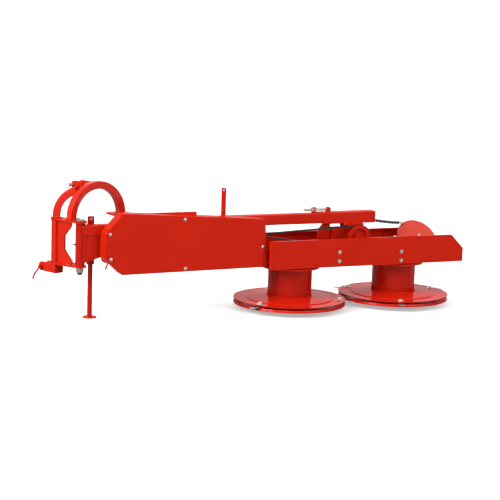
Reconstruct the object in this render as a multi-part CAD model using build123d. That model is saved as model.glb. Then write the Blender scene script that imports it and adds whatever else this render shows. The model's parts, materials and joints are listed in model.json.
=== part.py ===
from build123d import *
import math
import os

# Rear-mounted rotary drum mower for a tractor's three-point linkage, parked on its stand.
# Millimetres. X runs from the hitch out to the drums, Y points forward to the tractor, Z is up.
# The origin is the centre of the stand foot's underside, on the ground.

# Stand
LEG_RADIUS = 16
LEG_WALL = 4
LEG_TOP_Z = 664
LEG_LUG_WIDTH = 44
LEG_LUG_THICKNESS = 10
LEG_LUG_HEIGHT = 44
FOOT_RADIUS = 45
FOOT_THICKNESS = 9
SLEEVE_WALL = 9
SLEEVE_CLEARANCE = 0.5
SLEEVE_BOTTOM_Z = 352
STAND_PIN_RADIUS = 7

# Arm and its telescopic beam
ARM_TUBE_SIZE = 70
ARM_TUBE_WALL = 5
ARM_CENTRE_Z = 583
BEAM_CENTRE_Z = 612
BEAM_START_X = 330
BEAM_END_X = 1760
OUTER_WALL = 4
OUTER_CLEARANCE = 1
OUTER_START_X = 1624
OUTER_END_X = 2022
GUSSET_END_X = 110
SEAT = 0.3
SCREW_START_X = 1491
SCREW_RADIUS = 8.5
SCREW_NUT_ACROSS = 30
SCREW_NUT_HEIGHT = 13
SCREW_BRACKET_X = 1567
SCREW_BRACKET_THICKNESS = 10
SCREW_EYE_X = 1674
SCREW_EYE_RADIUS = 17
SCREW_EYE_WIDTH = 26

# Pivot post and its bolt
POST_X = -91
POST_RADIUS = 31
PIVOT_RADIUS = 20
PIVOT_CLEARANCE = 0.05
PIVOT_NUT_ACROSS = 46
PIVOT_NUT_HEIGHT = 31
PIVOT_TIP_RADIUS = 14.5
PIVOT_TIP_LENGTH = 17

# Belt drive: both pulleys, the belts and the cover
BELT_Y = -152
BELT_COUNT = 2
BELT_WIDTH = 13
BELT_HEIGHT = 8
BELT_PITCH = 17
GROOVE_GAP = 1.2
PULLEY_RADIUS = 84
PULLEY_RIM = 4
DRIVE_X = 200
DRIVE_Z = 407
DRIVEN_X = 1863
DRIVEN_Z = 483
IDLER_X = 1132
IDLER_Z = 477
IDLER_RADIUS = 36
COVER_DEPTH = 92
COVER_WALL = 3
COVER_ROUND = 5
SPACER_RADIUS = 8
# place along the arm and height of each cover bolt that reaches the plate behind the cover
COVER_BOLTS = ((64, 571), (72, 410), (574, 652), (584, 330))
PLATE_THICKNESS = 8
SHAFT_RADIUS = 17.5
SHAFT_FIT = 0.05
PTO_STUB_LENGTH = 75
PTO_COLLAR_WIDTH = 7
SPLINE_ROOT_RADIUS = 14.65
SPLINE_LAND = 8.7
LOCK_GROOVE_AT = 38
LOCK_GROOVE_WIDTH = 7
HOUSING_BACK_Y = 42
PULLEY_HUB_RADIUS = 30
PULLEY_HUB_LENGTH = 44

# Belt tensioner
LEVER_X = 917
LEVER_TOP_Z = 831
LEVER_BOTTOM_Z = 585
LEVER_HALF_WIDTH = 16
LEVER_THICKNESS = 9
IDLER_ARM_THICKNESS = 8
IDLER_ARM_EYE = 16
PIVOT_BAR_Z = 560
PIVOT_BAR_HALF = 14
PIVOT_PLATE_HALF = 40
PIVOT_PLATE_THICKNESS = 16

# Cutter frame
DRUM_Y = -56
DRUM_LEFT_X = 1407
DRUM_SPACING = 800
GEAR_BEAM_WIDTH = 130
GEAR_BEAM_WALL = 8
GEAR_BEAM_BOTTOM_Z = 330
GEAR_BEAM_TOP_Z = 424
GEAR_BEAM_START_X = 1200
GEAR_BEAM_OVERHANG = 330
END_COVER = 6
CAP_RADIUS = 29
CAP_TOP_Z = 452
PANEL_OFFSET = 200
PANEL_START_X = 1167
PANEL_END_X = 2638
PANEL_BOTTOM_Z = 304
PANEL_TOP_Z = 492
PANEL_CHAMFER = 95
PANEL_SHEET = 4
PANEL_FLANGE = 24
BRACKET_XS = (1676, 2150)
BRACKET_WIDTH = 60
GEARBOX_LENGTH = 150
GEARBOX_START_X = 1705
GEARBOX_WIDTH = 62
GEARBOX_TOP_Z = 548
GEARBOX_STEP = 3
GEARBOX_BASE = 14
HANGER_X = 1690
HANGER_Z = 495
HANGER_RADIUS = 93
HANGER_BOTTOM_Z = 470
HANGER_THICKNESS = 10
YOKE_START_X = 1779
YOKE_END_X = 1925
YOKE_WIDTH = 112
YOKE_THICKNESS = 9
YOKE_LOBE_RADIUS = 46
TRUNNION_RADIUS = 32
SHIELD_X = 2388
SHIELD_Y = -47
SHIELD_RADIUS = 150
SHIELD_LEAN = 41
SHIELD_THICKNESS = 5
SHIELD_FOOT_HALF = 45
SHIELD_FOOT_Y = (-117, -64)

# Drums, discs, knives and skids
DISC_RADIUS = 380
DISC_THICKNESS = 6
DISC_RIM_Z = 67
DISC_STEP = 0.79
DISC_STEP_HEIGHT = 5
DISC_RISE = 16
DRUM_RADIUS = 149
DRUM_TOP_Z = 284
DRUM_FLANGE_RADIUS = 198
DRUM_FLANGE_THICKNESS = 12
DRUM_WALL = 5
DRUM_SEAMS = 2
DRUM_SEAM_WIDTH = 8
DRUM_SEAM_HEIGHT = 2.5
SEAM_PHASES = (206, 287)
SPINDLE_RADIUS = 22
HOUSING_RADIUS = 62
KNIFE_COUNT = 3
KNIFE_PIVOT_INSET = 38
KNIFE_OVERHANG = 62
KNIFE_HEEL = 30
KNIFE_BOLT_RADIUS = 8
KNIFE_WIDTH = 46
KNIFE_THICKNESS = 4
KNIFE_Z = 56
KNIFE_PHASES = (-30, 10)
SKID_RADIUS = 380
SKID_FLAT_RADIUS = 190
SKID_THICKNESS = 5
SKID_RIM_Z = 41
SKID_HUB_RADIUS = 60

# Headstock, swung back about the pivot post; its own x runs right and its own y forward
SWING = 20
HEAD_TUBE = 50
HEAD_WALL = 4
HEAD_PLATE = 13
HEAD_TOP_Z = 631
HEAD_BOTTOM_Z = 357
BOW_CENTRE_X = 192
BOW_RADIUS = 204
BOW_Y = 77
BOW_CENTRE_Z = 651
LEFT_COLUMN_X = -36
RIGHT_COLUMN_X = 500
COLUMN_Y = 200
LUG_WIDTH = 65
LUG_HEIGHT = 60
LUG_END_Y = 350
LUG_START_Y = 176
HITCH_PIN_RADIUS = 11
HITCH_PIN_Y = 318
HITCH_PIN_Z = 312
HANDLE_RADIUS = 6
TOP_PIN_RADIUS = 9.5
TOP_PIN_X = 125
TOP_PIN_Y = 190
TOP_PIN_Z = 851

os.makedirs("parts", exist_ok=True)
parts = {}

sleeve_half = LEG_RADIUS + SLEEVE_CLEARANCE + SLEEVE_WALL
arm_y = -(sleeve_half + ARM_TUBE_SIZE / 2)
post = (POST_X, arm_y)
arm_front_y = arm_y - ARM_TUBE_SIZE / 2
plate_front_y = arm_front_y - PLATE_THICKNESS
cover_front_y = plate_front_y - COVER_DEPTH
drum_xs = (DRUM_LEFT_X, DRUM_LEFT_X + DRUM_SPACING)
knife_pivot_radius = DISC_RADIUS - KNIFE_PIVOT_INSET
knife_tip_radius = DISC_RADIUS + KNIFE_OVERHANG


def area(points):
    """Flat area inside a closed outline, in its own x and y."""
    return make_face(Polyline(*[Vector(*p) for p in points], close=True))


def block(x, y, z):
    """Box between two limits on each axis."""
    size = (x[1] - x[0], y[1] - y[0], z[1] - z[0])
    centre = ((x[0] + x[1]) / 2, (y[0] + y[1]) / 2, (z[0] + z[1]) / 2)
    return Pos(*centre) * Box(*size)


def upright_plate(points, y0, y1):
    """Plate whose outline is drawn in X and Z, between two places on Y."""
    return extrude(Plane.XZ.offset(-y1) * area(points), y1 - y0)


def side_plate(points, x0, x1):
    """Plate whose outline is drawn in Y and Z, between two places on X."""
    return extrude(Plane.YZ.offset(x0) * area(points), x1 - x0)


def flat_plate(points, z0, z1):
    """Plate whose outline is drawn in X and Y, between two heights."""
    return extrude(Plane.XY.offset(z0) * area(points), z1 - z0)


def box_tube(plane, width, height, wall, length):
    """Square tube with rounded corners along a plane's normal."""
    outer = RectangleRounded(width, height, wall * 1.5)
    inner = RectangleRounded(width - 2 * wall, height - 2 * wall, wall * 0.6)
    return extrude(plane * (outer - inner), length)


def tube_x(x0, x1, y, z, width, height, wall):
    return box_tube(Plane((x0, y, z), x_dir=(0, 1, 0), z_dir=(1, 0, 0)), width, height, wall, x1 - x0)


def tube_z(x, y, z0, z1, size, wall):
    return box_tube(Plane((x, y, z0)), size, size, wall, z1 - z0)


def rod_between(start, end, radius):
    start, end = Vector(*start), Vector(*end)
    return extrude(Plane(start, z_dir=end - start) * Circle(radius), (end - start).length)


def turned(points):
    """Solid turned about Z from an outline of radius and height."""
    return revolve(Plane.XZ * area(points), Axis.Z)


def turned_y(points, x, z):
    """Solid turned about a line along Y from an outline of radius and Y."""
    solid = revolve(Plane.XY * area(points), Axis.Y)
    return Pos(x, 0, z) * solid


def hexagon_nut(radius, across, height, bore=0.0):
    nut = extrude(RegularPolygon(across / 2, 6, major_radius=False), height)
    return nut - Cylinder(bore, 4 * height) if bore else nut


# Stand: a round leg with a flat lug on top and a round foot, pinned in a sleeve behind the arm
lug_z = (LEG_TOP_Z - LEG_LUG_HEIGHT, LEG_TOP_Z)
pin_z = sum(lug_z) / 2 + 3
leg = Pos(0, 0, (FOOT_THICKNESS + lug_z[0]) / 2) * (
    Cylinder(LEG_RADIUS, lug_z[0] - FOOT_THICKNESS) - Cylinder(LEG_RADIUS - LEG_WALL, LEG_TOP_Z)
)
leg_lug = block(
    (-LEG_LUG_WIDTH / 2, LEG_LUG_WIDTH / 2), (-LEG_LUG_THICKNESS / 2, LEG_LUG_THICKNESS / 2),
    (lug_z[0] - 8, LEG_TOP_Z),
)
leg_lug = fillet(leg_lug.edges().filter_by(Axis.Y).group_by(Axis.Z)[-1], 8)
leg += leg_lug
leg -= Pos(0, 0, pin_z) * Rot(90, 0, 0) * Cylinder(STAND_PIN_RADIUS + SEAT, 4 * LEG_RADIUS)
parts["stand_leg"] = leg
foot = Pos(0, 0, FOOT_THICKNESS / 2) * Cylinder(FOOT_RADIUS, FOOT_THICKNESS)
parts["stand_foot"] = fillet(foot.edges().filter_by(GeomType.CIRCLE).group_by(Axis.Z)[-1], 4)
stand_pin = Pos(0, 4, pin_z) * Rot(90, 0, 0) * Cylinder(STAND_PIN_RADIUS, LEG_LUG_THICKNESS + 20)
stand_pin += Pos(0, LEG_LUG_THICKNESS / 2 + 10, pin_z) * Rot(90, 0, 0) * Cylinder(STAND_PIN_RADIUS + 4, 6)
parts["stand_pin"] = stand_pin
sleeve_top_z = lug_z[0] - 8 - SEAT
sleeve_height = sleeve_top_z - SLEEVE_BOTTOM_Z
parts["stand_sleeve"] = Pos(0, 0, SLEEVE_BOTTOM_Z + sleeve_height / 2) * (
    Cylinder(sleeve_half, sleeve_height) - Cylinder(sleeve_half - SLEEVE_WALL, 2 * sleeve_height)
)

# Pivot post
post_bottom_z = HEAD_BOTTOM_Z + SEAT
post_top_z = HEAD_TOP_Z - SEAT
post_bore = PIVOT_RADIUS + PIVOT_CLEARANCE
post_height = post_top_z - post_bottom_z
parts["pivot_post"] = Pos(*post, (post_bottom_z + post_top_z) / 2) * (
    Cylinder(POST_RADIUS, post_height) - Cylinder(post_bore, 2 * post_height)
)

# Arm tube, gusset under it and the plate behind the belt cover
arm_start_x = POST_X + 2
arm = tube_x(arm_start_x, BEAM_START_X, arm_y, ARM_CENTRE_Z, ARM_TUBE_SIZE, ARM_TUBE_SIZE, ARM_TUBE_WALL)
arm -= Pos(*post, ARM_CENTRE_Z) * Cylinder(POST_RADIUS, 2 * ARM_TUBE_SIZE)
parts["arm_tube"] = arm

arm_bottom_z = ARM_CENTRE_Z - ARM_TUBE_SIZE / 2
cover_top = ((147, 701), (1143, 638))
cover_bottom = ((1170, 315), (152, 304))
cover_points = [(30, 576), *cover_top, (1150, 600), *cover_bottom, (28, 419)]
gusset_y = (arm_front_y + 6, arm_front_y + 14)
gusset_points = [
    (POST_X + 10, arm_bottom_z), (GUSSET_END_X, arm_bottom_z), (GUSSET_END_X, arm_bottom_z - 123),
    (20, arm_bottom_z - 146), (POST_X + 28, HEAD_BOTTOM_Z + 21), (POST_X + 10, HEAD_BOTTOM_Z + 21),
]
gusset = upright_plate(gusset_points, *gusset_y) - Pos(*post, ARM_CENTRE_Z) * Cylinder(POST_RADIUS, 600)
parts["arm_gusset"] = gusset

plate_points = [
    (60, 590), (150, 687), (692, 687), (692, 560), (560, 520), (430, 330), (170, 322), (60, 430),
]
main_plate = upright_plate(plate_points, plate_front_y, arm_front_y)
for tab_x, tab_z in ((72, 440), (584, 530)):
    low_z = min(z for x, z in COVER_BOLTS if x == tab_x) - 14
    main_plate += block((tab_x - 13, tab_x + 13), (plate_front_y, arm_front_y), (low_z, tab_z))
spacer_end_y = cover_front_y + COVER_WALL
for x, z in COVER_BOLTS:
    main_plate += Pos(x, (arm_front_y + spacer_end_y) / 2, z) * Rot(90, 0, 0) * Cylinder(
        SPACER_RADIUS, arm_front_y - spacer_end_y
    )
main_plate -= Pos(DRIVE_X, plate_front_y, DRIVE_Z) * Rot(90, 0, 0) * Cylinder(SHAFT_RADIUS + 14, 60)
parts["main_plate"] = main_plate

# Two-piece telescopic beam with its tension screw
beam_y = arm_y
parts["beam_inner"] = tube_x(
    BEAM_START_X, BEAM_END_X, beam_y, BEAM_CENTRE_Z, ARM_TUBE_SIZE, ARM_TUBE_SIZE, ARM_TUBE_WALL
)
outer_size = ARM_TUBE_SIZE + 2 * (OUTER_WALL + OUTER_CLEARANCE)
outer = tube_x(OUTER_START_X, OUTER_END_X, beam_y, BEAM_CENTRE_Z, outer_size, outer_size, OUTER_WALL)
beam_top_z = BEAM_CENTRE_Z + ARM_TUBE_SIZE / 2
outer_top_z = BEAM_CENTRE_Z + outer_size / 2
tongue = block(
    (OUTER_START_X - 34, OUTER_START_X + 8), (beam_y - 18, beam_y + 18), (outer_top_z - 4, outer_top_z)
)
parts["beam_outer"] = outer + tongue

screw_z = outer_top_z + SCREW_EYE_RADIUS
bracket_half = SCREW_NUT_ACROSS / 2
bracket_points = [
    (-bracket_half - 10, beam_top_z), (bracket_half + 10, beam_top_z), (bracket_half, screw_z + 11),
    (0, screw_z + 20), (-bracket_half, screw_z + 11),
]
bracket_x = (SCREW_BRACKET_X - SCREW_BRACKET_THICKNESS / 2, SCREW_BRACKET_X + SCREW_BRACKET_THICKNESS / 2)
bracket = side_plate([(beam_y + y, z) for y, z in bracket_points], *bracket_x)
bracket -= Pos(SCREW_BRACKET_X, beam_y, screw_z) * Rot(0, 90, 0) * Cylinder(SCREW_RADIUS + SEAT, 40)
parts["screw_bracket"] = bracket
screw_end_x = SCREW_EYE_X - SCREW_EYE_RADIUS - 0.1
screw = rod_between((SCREW_START_X, beam_y, screw_z), (screw_end_x, beam_y, screw_z), SCREW_RADIUS)
for nut_x in (bracket_x[0] - SEAT - SCREW_NUT_HEIGHT, bracket_x[1] + SEAT):
    nut = hexagon_nut(SCREW_RADIUS, SCREW_NUT_ACROSS, SCREW_NUT_HEIGHT)
    screw += Pos(nut_x, beam_y, screw_z) * Rot(0, 90, 0) * nut
parts["tension_screw"] = screw
eye_y = (beam_y - SCREW_EYE_WIDTH / 2, beam_y + SCREW_EYE_WIDTH / 2)
eye = Pos(SCREW_EYE_X, beam_y, screw_z) * Rot(90, 0, 0) * Cylinder(SCREW_EYE_RADIUS, SCREW_EYE_WIDTH)
eye += block((SCREW_EYE_X - 11, SCREW_EYE_X + 11), eye_y, (outer_top_z, screw_z))
eye -= Pos(SCREW_EYE_X, beam_y, screw_z) * Rot(90, 0, 0) * Cylinder(SCREW_EYE_RADIUS / 3, 60)
parts["screw_eye"] = eye

# Hinge yoke under the outer beam: a base plate with two rounded ears
outer_bottom_z = BEAM_CENTRE_Z - outer_size / 2
yoke = block(
    (YOKE_START_X, YOKE_END_X), (beam_y - YOKE_WIDTH / 2, beam_y + YOKE_WIDTH / 2),
    (outer_bottom_z - YOKE_THICKNESS, outer_bottom_z),
)
for side in (-1, 1):
    ear_y = sorted((beam_y + side * YOKE_WIDTH / 2, beam_y + side * (YOKE_WIDTH / 2 - YOKE_THICKNESS)))
    ear = upright_plate(
        [(DRIVEN_X - 70, outer_bottom_z - 2), (DRIVEN_X + 60, outer_bottom_z - 2),
         (DRIVEN_X + YOKE_LOBE_RADIUS, DRIVEN_Z), (DRIVEN_X - YOKE_LOBE_RADIUS, DRIVEN_Z)],
        *ear_y,
    )
    lobe = Rot(90, 0, 0) * Cylinder(YOKE_LOBE_RADIUS, YOKE_THICKNESS)
    yoke += ear + Pos(DRIVEN_X, sum(ear_y) / 2, DRIVEN_Z) * lobe
yoke -= Pos(DRIVEN_X, beam_y, DRIVEN_Z) * Rot(90, 0, 0) * Cylinder(TRUNNION_RADIUS + SEAT, 2 * YOKE_WIDTH)
parts["hinge_yoke"] = yoke

# Half-round plate hung under the outer beam's inner end
hanger_half = math.sqrt(HANGER_RADIUS**2 - (outer_bottom_z - HANGER_Z) ** 2)
hanger_low_half = math.sqrt(HANGER_RADIUS**2 - (HANGER_BOTTOM_Z - HANGER_Z) ** 2)
hanger_face = make_face([
    Line((HANGER_X, outer_bottom_z), (HANGER_X - hanger_half, outer_bottom_z)),
    ThreePointArc(
        (HANGER_X - hanger_half, outer_bottom_z), (HANGER_X - HANGER_RADIUS, HANGER_Z),
        (HANGER_X - hanger_low_half, HANGER_BOTTOM_Z),
    ),
    Line((HANGER_X - hanger_low_half, HANGER_BOTTOM_Z), (HANGER_X, HANGER_BOTTOM_Z)),
    Line((HANGER_X, HANGER_BOTTOM_Z), (HANGER_X, outer_bottom_z)),
])
parts["beam_hanger"] = extrude(Plane.XZ.offset(-beam_y) * hanger_face, HANGER_THICKNESS)

# Belt cover: folded sheet, open behind and at its outer end
cover = upright_plate(cover_points, cover_front_y, plate_front_y)
front_edges = cover.edges().filter_by_position(Axis.Y, cover_front_y - 0.1, cover_front_y + 0.1)
cover = fillet(front_edges, COVER_ROUND)
inner_face = offset(area(cover_points), -COVER_WALL, kind=Kind.INTERSECTION)
inner = extrude(Plane.XZ.offset(-plate_front_y - 1) * inner_face, COVER_DEPTH - COVER_WALL + 1)
cover -= inner
end_x = cover_top[1][0]
end_z = (cover_bottom[0][1] + 10, cover_top[1][1] - 10)
cover -= block((end_x - 23, end_x + 57), (cover_front_y + COVER_WALL, plate_front_y + 1), end_z)
cover += block((1114, 1146), (cover_front_y + COVER_WALL, cover_front_y + 2 * COVER_WALL), (436, 468))
parts["belt_cover"] = cover

# Pulleys, idler and belts


def pulley(x, z, radius, bore, hub_length):
    """Turned pulley with one groove for each belt, a thin web and a hub."""
    width = BELT_COUNT * BELT_PITCH + 2 * PULLEY_RIM
    half = width / 2
    hub = PULLEY_HUB_RADIUS
    profile = [(bore, BELT_Y - hub_length / 2), (hub, BELT_Y - hub_length / 2), (hub, BELT_Y - 4)]
    profile += [(radius - 26, BELT_Y - 4), (radius - 22, BELT_Y - half), (radius, BELT_Y - half)]
    groove_half = BELT_WIDTH / 2 + GROOVE_GAP
    for belt in range(BELT_COUNT):
        centre = BELT_Y + (belt - (BELT_COUNT - 1) / 2) * BELT_PITCH
        depth = BELT_HEIGHT + 3
        profile += [
            (radius, centre - groove_half), (radius - depth, centre - groove_half + 0.8),
            (radius - depth, centre + groove_half - 0.8), (radius, centre + groove_half),
        ]
    profile += [(radius, BELT_Y + half), (radius - 22, BELT_Y + half), (radius - 26, BELT_Y + 4)]
    profile += [(hub, BELT_Y + 4), (hub, BELT_Y + hub_length / 2), (bore, BELT_Y + hub_length / 2)]
    return turned_y(profile, x, z)


def tangent_run(start, end):
    """Touching points of the straight run on the upper side of two circles, seen along +Y."""
    (x0, z0, r0), (x1, z1, r1) = start, end
    distance = math.hypot(x1 - x0, z1 - z0)
    slope = math.atan2(z1 - z0, x1 - x0)
    turn = slope + math.acos((r0 - r1) / distance)
    dx, dz = math.cos(turn), math.sin(turn)
    return (x0 + r0 * dx, z0 + r0 * dz), (x1 + r1 * dx, z1 + r1 * dz)


def crossed_run(start, end):
    """Touching points of a run under the first circle and over the second one."""
    (x0, z0, r0), (x1, z1, r1) = start, end
    distance = math.hypot(x1 - x0, z1 - z0)
    slope = math.atan2(z1 - z0, x1 - x0)
    turn = slope - math.acos((r0 + r1) / distance)
    dx, dz = math.cos(turn), math.sin(turn)
    return (x0 + r0 * dx, z0 + r0 * dz), (x1 - r1 * dx, z1 - r1 * dz)


def belt_face(inset):
    """Area inside the belt's path, a given distance inside its outer face."""
    drive = (DRIVE_X, DRIVE_Z, PULLEY_RADIUS - inset)
    driven = (DRIVEN_X, DRIVEN_Z, PULLEY_RADIUS - inset)
    idler = (IDLER_X, IDLER_Z, IDLER_RADIUS + inset)
    top = tangent_run(drive, driven)
    low_in = crossed_run(drive, idler)
    out = crossed_run((-driven[0], driven[1], driven[2]), (-idler[0], idler[1], idler[2]))
    low_out = tuple((-x, z) for x, z in out)
    drive_back = (DRIVE_X - drive[2], DRIVE_Z)
    driven_front = (DRIVEN_X + driven[2], DRIVEN_Z)
    idler_top = (IDLER_X, IDLER_Z + idler[2])
    wires = [
        Line(top[0], top[1]),
        ThreePointArc(top[1], driven_front, low_out[0]),
        Line(low_out[0], low_out[1]),
        ThreePointArc(low_out[1], idler_top, low_in[1]),
        Line(low_in[1], low_in[0]),
        ThreePointArc(low_in[0], drive_back, top[0]),
    ]
    return make_face(wires)


belts = None
for belt in range(BELT_COUNT):
    centre = BELT_Y + (belt - (BELT_COUNT - 1) / 2) * BELT_PITCH
    plane = Plane.XZ.offset(-(centre + BELT_WIDTH / 2))
    loop = extrude(plane * belt_face(0), BELT_WIDTH) - extrude(plane * belt_face(BELT_HEIGHT), BELT_WIDTH)
    belts = loop if belts is None else belts + loop
parts["v_belts"] = belts

shaft_bore = SHAFT_RADIUS + SHAFT_FIT
parts["drive_pulley"] = pulley(DRIVE_X, DRIVE_Z, PULLEY_RADIUS, SHAFT_RADIUS, PULLEY_HUB_LENGTH)
hub_end_y = BELT_Y - PULLEY_HUB_LENGTH / 2
stub_start_y = HOUSING_BACK_Y + SEAT + PTO_COLLAR_WIDTH
stub_end_y = stub_start_y + PTO_STUB_LENGTH
shaft = Pos(DRIVE_X, (hub_end_y + stub_end_y) / 2, DRIVE_Z) * Rot(90, 0, 0) * Cylinder(
    SHAFT_RADIUS, stub_end_y - hub_end_y
)
spline_lands = Circle(SPLINE_ROOT_RADIUS)
for land in range(3):
    spline_lands += Rot(0, 0, 60 * land) * Rectangle(3 * SHAFT_RADIUS, SPLINE_LAND)
spline_gaps = Circle(2 * SHAFT_RADIUS) - spline_lands
gap_cutter = extrude(Plane.XZ.offset(-stub_end_y - 1) * spline_gaps, PTO_STUB_LENGTH + 1)
shaft -= Pos(DRIVE_X, 0, DRIVE_Z) * gap_cutter
shaft -= Pos(DRIVE_X, stub_end_y - LOCK_GROOVE_AT, DRIVE_Z) * Rot(90, 0, 0) * (
    Cylinder(2 * SHAFT_RADIUS, LOCK_GROOVE_WIDTH) - Cylinder(SPLINE_ROOT_RADIUS, LOCK_GROOVE_WIDTH)
)
shaft += Pos(DRIVE_X, stub_start_y - PTO_COLLAR_WIDTH / 2, DRIVE_Z) * Rot(90, 0, 0) * Cylinder(
    SHAFT_RADIUS + 6, PTO_COLLAR_WIDTH
)
parts["pto_shaft"] = shaft
snout = SHAFT_RADIUS + 14 - SEAT
housing = turned_y(
    [
        (shaft_bore, plate_front_y - 14), (snout, plate_front_y - 14), (snout, arm_front_y),
        (62, arm_front_y), (62, arm_front_y + 14), (44, arm_front_y + 20), (40, HOUSING_BACK_Y - 20),
        (44, HOUSING_BACK_Y - 14), (44, HOUSING_BACK_Y), (shaft_bore, HOUSING_BACK_Y),
    ],
    DRIVE_X, DRIVE_Z,
)
parts["drive_housing"] = housing

parts["driven_pulley"] = pulley(DRIVEN_X, DRIVEN_Z, PULLEY_RADIUS, SHAFT_RADIUS, PULLEY_HUB_LENGTH)
gearbox_y = (beam_y - GEARBOX_WIDTH / 2, beam_y + GEARBOX_WIDTH / 2)
trunnion_front_y = beam_y - YOKE_WIDTH / 2 - 2
driven_length = gearbox_y[0] - hub_end_y + 4
driven_shaft = Rot(90, 0, 0) * Cylinder(SHAFT_RADIUS, driven_length)
parts["driven_shaft"] = Pos(DRIVEN_X, gearbox_y[0] - driven_length / 2, DRIVEN_Z) * driven_shaft

idler_half = (BELT_COUNT * BELT_PITCH + 6) / 2
idler_y = (BELT_Y - idler_half, BELT_Y + idler_half)
idler_face = IDLER_RADIUS - SEAT
idler_profile = [
    (10, idler_y[0]), (IDLER_RADIUS - 12, idler_y[0] + 6), (idler_face, idler_y[0]),
    (idler_face, idler_y[1]), (IDLER_RADIUS - 12, idler_y[1] - 6), (10, idler_y[1]),
]
parts["idler_pulley"] = turned_y(idler_profile, IDLER_X, IDLER_Z)

# Upright hand lever and the arm that carries the idler
lever_y = arm_front_y + ARM_TUBE_SIZE
lever_side = (LEVER_X - LEVER_HALF_WIDTH, LEVER_X + LEVER_HALF_WIDTH)
lever = upright_plate(
    [
        (lever_side[0], LEVER_BOTTOM_Z), (lever_side[1], LEVER_BOTTOM_Z), (lever_side[1], LEVER_TOP_Z - 12),
        (lever_side[1] - 4, LEVER_TOP_Z - 6), (lever_side[0] + 4, LEVER_TOP_Z),
        (lever_side[0], LEVER_TOP_Z - 4),
    ],
    lever_y, lever_y + LEVER_THICKNESS,
)
lever -= Pos(LEVER_X, lever_y, LEVER_TOP_Z - 20) * Rot(90, 0, 0) * Cylinder(5, 60)
parts["tension_lever"] = lever
idler_arm_y = (idler_y[1] + 2, idler_y[1] + 2 + IDLER_ARM_THICKNESS)
heel_x = LEVER_X - PIVOT_BAR_HALF - 11
idler_arm = upright_plate(
    [
        (heel_x, PIVOT_BAR_Z), (LEVER_X + 25, PIVOT_BAR_Z), (LEVER_X + 40, PIVOT_BAR_Z - 15),
        (IDLER_X + IDLER_ARM_EYE, IDLER_Z + IDLER_ARM_EYE),
        (IDLER_X + IDLER_ARM_EYE, IDLER_Z - IDLER_ARM_EYE),
        (IDLER_X - IDLER_ARM_EYE, IDLER_Z - IDLER_ARM_EYE), (LEVER_X - 10, PIVOT_BAR_Z - 40),
        (heel_x, PIVOT_BAR_Z - 25),
    ],
    *idler_arm_y,
)
idler_pin_y = (idler_y[0] - 4, idler_arm_y[1])
idler_pin = Rot(90, 0, 0) * Cylinder(10 - SHAFT_FIT, idler_pin_y[1] - idler_pin_y[0])
idler_arm += Pos(IDLER_X, sum(idler_pin_y) / 2, IDLER_Z) * idler_pin
parts["idler_arm"] = idler_arm
pivot_bar = block(
    (LEVER_X - PIVOT_BAR_HALF + 2, LEVER_X + PIVOT_BAR_HALF - 2), (idler_arm_y[1], arm_front_y),
    (PIVOT_BAR_Z - PIVOT_BAR_HALF, PIVOT_BAR_Z + PIVOT_BAR_HALF),
)
beam_bottom_z = BEAM_CENTRE_Z - ARM_TUBE_SIZE / 2
pivot_bar += block(
    (LEVER_X - PIVOT_PLATE_HALF, LEVER_X + PIVOT_PLATE_HALF), (arm_front_y, lever_y),
    (beam_bottom_z - PIVOT_PLATE_THICKNESS, beam_bottom_z),
)
parts["tensioner_bracket"] = pivot_bar

# Headstock, drawn square and then swung about the pivot post
head_parts = {}
left_x = LEFT_COLUMN_X
right_x = RIGHT_COLUMN_X
half_tube = HEAD_TUBE / 2
bow_left = BOW_CENTRE_X - BOW_RADIUS
bow_right = BOW_CENTRE_X + BOW_RADIUS
head_plate_outline = [
    (left_x - half_tube, COLUMN_Y + half_tube), (left_x + half_tube + 12, COLUMN_Y + half_tube),
    (36, 96), (38, -12), (26, -34), (0, -44), (-26, -34), (-38, -12), (left_x - half_tube, 70),
]
bolt_hole = Cylinder(PIVOT_RADIUS + 0.3, 3000)
top_z = (HEAD_TOP_Z, HEAD_TOP_Z + HEAD_PLATE)
bottom_z = (HEAD_BOTTOM_Z - HEAD_PLATE, HEAD_BOTTOM_Z)
head_parts["head_top_plate"] = flat_plate(head_plate_outline, *top_z) - bolt_hole
head_parts["head_bottom_plate"] = flat_plate(head_plate_outline, *bottom_z) - bolt_hole
left_column = tube_z(left_x, COLUMN_Y, HEAD_BOTTOM_Z, HEAD_TOP_Z, HEAD_TUBE, HEAD_WALL)
web_outline = [
    (COLUMN_Y - half_tube, HEAD_BOTTOM_Z), (26, HEAD_BOTTOM_Z), (26, 384), (102, 452), (102, 541),
    (38, 606), (38, HEAD_TOP_Z), (COLUMN_Y - half_tube, HEAD_TOP_Z),
]
left_web = side_plate(web_outline, left_x - 12, left_x)

right_outline = [
    (bow_right, COLUMN_Y + half_tube), (right_x + half_tube, COLUMN_Y + half_tube),
    (right_x + half_tube, COLUMN_Y - 60), (bow_right + half_tube + 1, BOW_Y - half_tube),
    (bow_right - half_tube - 1, BOW_Y - half_tube), (bow_right - half_tube - 1, BOW_Y + half_tube),
]
leg_hole = Pos(BOW_CENTRE_X + BOW_RADIUS, BOW_Y, 0) * Box(HEAD_TUBE, HEAD_TUBE, 3000)
head_parts["right_top_plate"] = flat_plate(right_outline, *top_z) - leg_hole
head_parts["right_bottom_plate"] = flat_plate(right_outline, *bottom_z)
right_column = tube_z(right_x, COLUMN_Y, HEAD_BOTTOM_Z, HEAD_TOP_Z, HEAD_TUBE, HEAD_WALL)
head_parts["head_columns"] = left_column + right_column
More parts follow.
